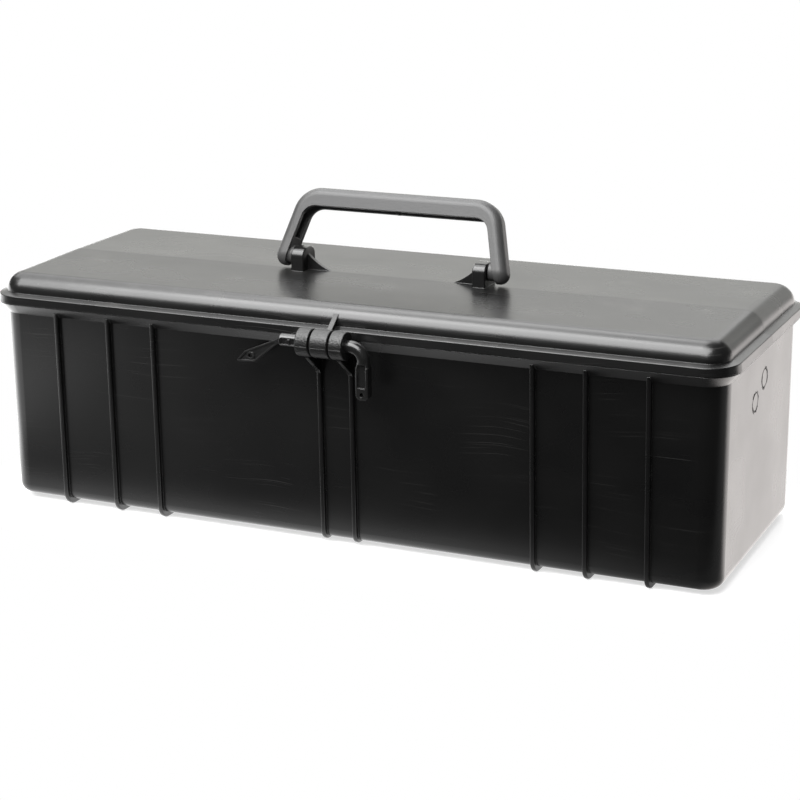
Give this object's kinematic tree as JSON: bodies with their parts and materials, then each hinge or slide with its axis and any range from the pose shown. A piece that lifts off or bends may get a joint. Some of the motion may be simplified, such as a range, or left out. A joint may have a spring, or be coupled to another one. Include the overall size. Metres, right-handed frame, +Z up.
{
  "type": "toolbox",
  "caption": "Long moulded toolbox with a low domed hinged lid, hoop carrying handle, ribbed tub and a knuckle latch closed by an L-shaped pin.",
  "frame": {"origin": "on the surface the toolbox stands on, under the middle of the tub", "axes": "+X along the length towards the right end, -Y towards the latch, +Z up"},
  "size_m": [0.42, 0.1826, 0.1732],
  "materials": {
    "tub_plastic": "satin moulded polypropylene",
    "lid_plastic": "satin moulded polypropylene",
    "handle_plastic": "satin moulded polypropylene",
    "pin_plastic": "semi-gloss moulded plastic",
    "hinge_steel": "bright zinc plated"
  },
  "bodies": {
    "tub": {"tub": "tub_plastic", "hinge_pin_left": "hinge_steel", "hinge_pin_right": "hinge_steel"},
    "lid": {"lid": "lid_plastic"},
    "handle": {"handle": "handle_plastic"},
    "latch_pin": {"latch_pin": "pin_plastic"}
  },
  "joints": [
    {"name": "lid_hinge", "type": "hinge", "parent": "tub", "child": "lid", "pos_m": [0, 0.0838, 0.1134], "axis": [-1, 0, 0], "range_deg": [0, 105]},
    {"name": "handle_pivot", "type": "hinge", "parent": "lid", "child": "handle", "pos_m": [0, 0, 0.1375], "axis": [-1, 0, 0], "range_deg": [-112, 68]},
    {"name": "latch_pin_slide", "type": "slide", "parent": "tub", "child": "latch_pin", "axis": [1, 0, 0], "range_m": [0, 0.04]}
  ]
}
